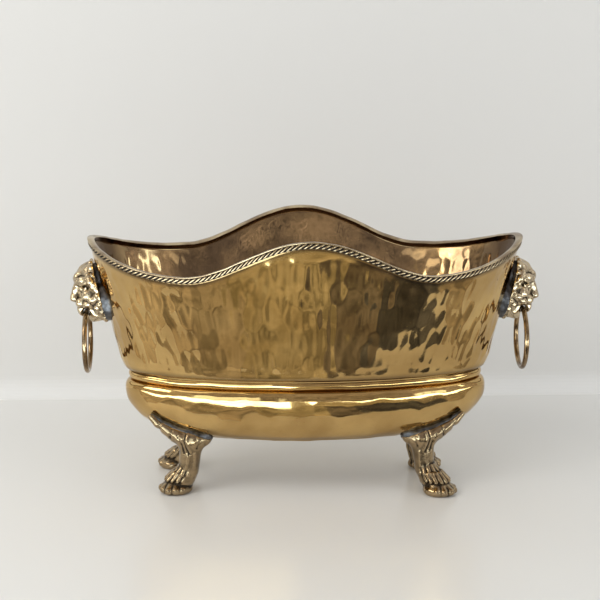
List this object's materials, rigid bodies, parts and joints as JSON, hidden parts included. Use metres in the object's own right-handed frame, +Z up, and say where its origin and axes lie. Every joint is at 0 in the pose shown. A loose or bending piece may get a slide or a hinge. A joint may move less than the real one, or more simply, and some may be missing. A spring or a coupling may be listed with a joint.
{
  "type": "oval planter pot",
  "caption": "Oval footed brass planter with a flared hammered wall, waved rope-edged rim, bulged bowl, lion-mask ring handles and paw feet.",
  "frame": {"origin": "on the ground under the middle of the pot, in the plane of the four soles", "axes": "+X along the long axis of the oval, through both lion masks; +Y across it; +Z up"},
  "size_m": [0.3942, 0.204, 0.2247],
  "materials": {
    "hammered_brass": "polished, hammered, lightly aged",
    "pale_brass": "satin, paler than the body, brown in its creases",
    "old_brass": "cast, worn bright on its high points, dark brown in its recesses",
    "bronzed_brass": "drawn wire with a brown patina",
    "solder": "dull grey soft solder"
  },
  "bodies": {
    "pot": {"upper_wall": "hammered_brass", "rim_lip": "pale_brass", "rope_trim": "pale_brass", "waist_bead": "hammered_brass", "lower_bowl": "hammered_brass", "base_plate": "hammered_brass", "paw_foot_front_right": "old_brass", "paw_foot_front_left": "old_brass", "paw_foot_back_left": "old_brass", "paw_foot_back_right": "old_brass", "foot_solder_front_right": "solder", "foot_solder_front_left": "solder", "foot_solder_back_left": "solder", "foot_solder_back_right": "solder", "lion_mask_right": "old_brass", "lion_mask_left": "old_brass", "mask_solder_right": "solder", "mask_solder_left": "solder"},
    "ring_right_body": {"ring_right": "bronzed_brass"},
    "ring_left_body": {"ring_left": "bronzed_brass"}
  },
  "joints": [
    {"name": "ring_right_swing", "type": "hinge", "parent": "pot", "child": "ring_right_body", "pos_m": [0.1835, 0, 0.15026], "axis": [0, -1, 0], "range_deg": [-28, 100]},
    {"name": "ring_left_swing", "type": "hinge", "parent": "pot", "child": "ring_left_body", "pos_m": [-0.1835, 0, 0.15026], "axis": [0, 1, 0], "range_deg": [-28, 100]}
  ]
}
